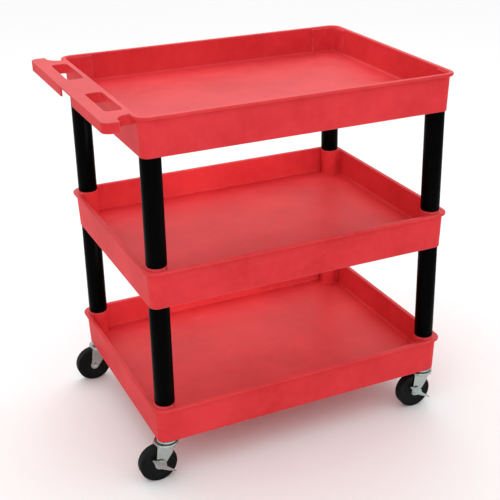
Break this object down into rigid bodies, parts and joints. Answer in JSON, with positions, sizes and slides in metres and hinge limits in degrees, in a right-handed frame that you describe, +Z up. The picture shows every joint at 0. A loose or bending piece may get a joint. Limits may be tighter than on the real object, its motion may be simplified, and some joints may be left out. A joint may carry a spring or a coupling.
{
  "type": "book cart",
  "caption": "Push cart with moulded tub shelves on tube legs, a moulded push handle with hand openings, and swivel casters with side brakes.",
  "frame": {"origin": "on the floor, under the middle of the overall length and depth (half way between the handle end and the far rim)", "axes": "+X along the shelves away from the push handle, +Y towards the back (the brake levers face -Y), +Z up"},
  "size_m": [0.8848, 0.6096, 0.9335],
  "materials": {
    "shelf_plastic": "satin moulded red",
    "leg_plastic": "satin black",
    "socket_plastic": "matte black",
    "zinc_sheet": "bright zinc plate",
    "bolt_steel": "zinc plate",
    "ball_steel": "polished",
    "wheel_plastic": "satin black",
    "tyre_rubber": "dull black"
  },
  "bodies": {
    "cart": {"top_shelf": "shelf_plastic", "middle_shelf": "shelf_plastic", "bottom_shelf": "shelf_plastic", "upper_leg_front_left": "leg_plastic", "upper_leg_front_right": "leg_plastic", "upper_leg_back_left": "leg_plastic", "upper_leg_back_right": "leg_plastic", "lower_leg_front_left": "leg_plastic", "lower_leg_front_right": "leg_plastic", "lower_leg_back_left": "leg_plastic", "lower_leg_back_right": "leg_plastic", "stem_socket_front_left": "socket_plastic", "stem_socket_front_right": "socket_plastic", "stem_socket_back_left": "socket_plastic", "stem_socket_back_right": "socket_plastic", "caster_stem_front_left": "bolt_steel", "caster_stem_front_right": "bolt_steel", "caster_stem_back_left": "bolt_steel", "caster_stem_back_right": "bolt_steel", "swivel_cap_front_left": "zinc_sheet", "swivel_cap_front_right": "zinc_sheet", "swivel_cap_back_left": "zinc_sheet", "swivel_cap_back_right": "zinc_sheet"},
    "swivel_front_left": {"fork_front_left": "zinc_sheet", "swivel_balls_front_left": "ball_steel", "axle_bolt_front_left": "bolt_steel", "axle_nut_front_left": "bolt_steel", "axle_sleeve_front_left": "bolt_steel", "brake_cam_front_left": "bolt_steel"},
    "wheel_front_left": {"wheel_core_front_left": "wheel_plastic", "wheel_tyre_front_left": "tyre_rubber"},
    "brake_front_left": {"brake_lever_front_left": "zinc_sheet"},
    "swivel_front_right": {"fork_front_right": "zinc_sheet", "swivel_balls_front_right": "ball_steel", "axle_bolt_front_right": "bolt_steel", "axle_nut_front_right": "bolt_steel", "axle_sleeve_front_right": "bolt_steel", "brake_cam_front_right": "bolt_steel"},
    "wheel_front_right": {"wheel_core_front_right": "wheel_plastic", "wheel_tyre_front_right": "tyre_rubber"},
    "brake_front_right": {"brake_lever_front_right": "zinc_sheet"},
    "swivel_back_left": {"fork_back_left": "zinc_sheet", "swivel_balls_back_left": "ball_steel", "axle_bolt_back_left": "bolt_steel", "axle_nut_back_left": "bolt_steel", "axle_sleeve_back_left": "bolt_steel"},
    "wheel_back_left": {"wheel_core_back_left": "wheel_plastic", "wheel_tyre_back_left": "tyre_rubber"},
    "swivel_back_right": {"fork_back_right": "zinc_sheet", "swivel_balls_back_right": "ball_steel", "axle_bolt_back_right": "bolt_steel", "axle_nut_back_right": "bolt_steel", "axle_sleeve_back_right": "bolt_steel"},
    "wheel_back_right": {"wheel_core_back_right": "wheel_plastic", "wheel_tyre_back_right": "tyre_rubber"}
  },
  "joints": [
    {"name": "swivel_front_left", "type": "hinge", "parent": "cart", "child": "swivel_front_left", "pos_m": [-0.33275, -0.2672, 0.104], "axis": [0, 0, 1], "continuous": true},
    {"name": "wheel_spin_front_left", "type": "hinge", "parent": "swivel_front_left", "child": "wheel_front_left", "pos_m": [-0.36025, -0.2672, 0.0475], "axis": [0, 1, 0], "continuous": true},
    {"name": "brake_front_left", "type": "hinge", "parent": "swivel_front_left", "child": "brake_front_left", "pos_m": [-0.36025, -0.2672, 0.0475], "axis": [0, -1, 0], "range_deg": [0, 25]},
    {"name": "swivel_front_right", "type": "hinge", "parent": "cart", "child": "swivel_front_right", "pos_m": [0.40485, -0.2672, 0.104], "axis": [0, 0, 1], "continuous": true},
    {"name": "wheel_spin_front_right", "type": "hinge", "parent": "swivel_front_right", "child": "wheel_front_right", "pos_m": [0.37735, -0.2672, 0.0475], "axis": [0, 1, 0], "continuous": true},
    {"name": "brake_front_right", "type": "hinge", "parent": "swivel_front_right", "child": "brake_front_right", "pos_m": [0.37735, -0.2672, 0.0475], "axis": [0, -1, 0], "range_deg": [0, 25]},
    {"name": "swivel_back_left", "type": "hinge", "parent": "cart", "child": "swivel_back_left", "pos_m": [-0.33275, 0.2672, 0.104], "axis": [0, 0, 1], "continuous": true},
    {"name": "wheel_spin_back_left", "type": "hinge", "parent": "swivel_back_left", "child": "wheel_back_left", "pos_m": [-0.36025, 0.2672, 0.0475], "axis": [0, 1, 0], "continuous": true},
    {"name": "swivel_back_right", "type": "hinge", "parent": "cart", "child": "swivel_back_right", "pos_m": [0.40485, 0.2672, 0.104], "axis": [0, 0, 1], "continuous": true},
    {"name": "wheel_spin_back_right", "type": "hinge", "parent": "swivel_back_right", "child": "wheel_back_right", "pos_m": [0.37735, 0.2672, 0.0475], "axis": [0, 1, 0], "continuous": true}
  ]
}
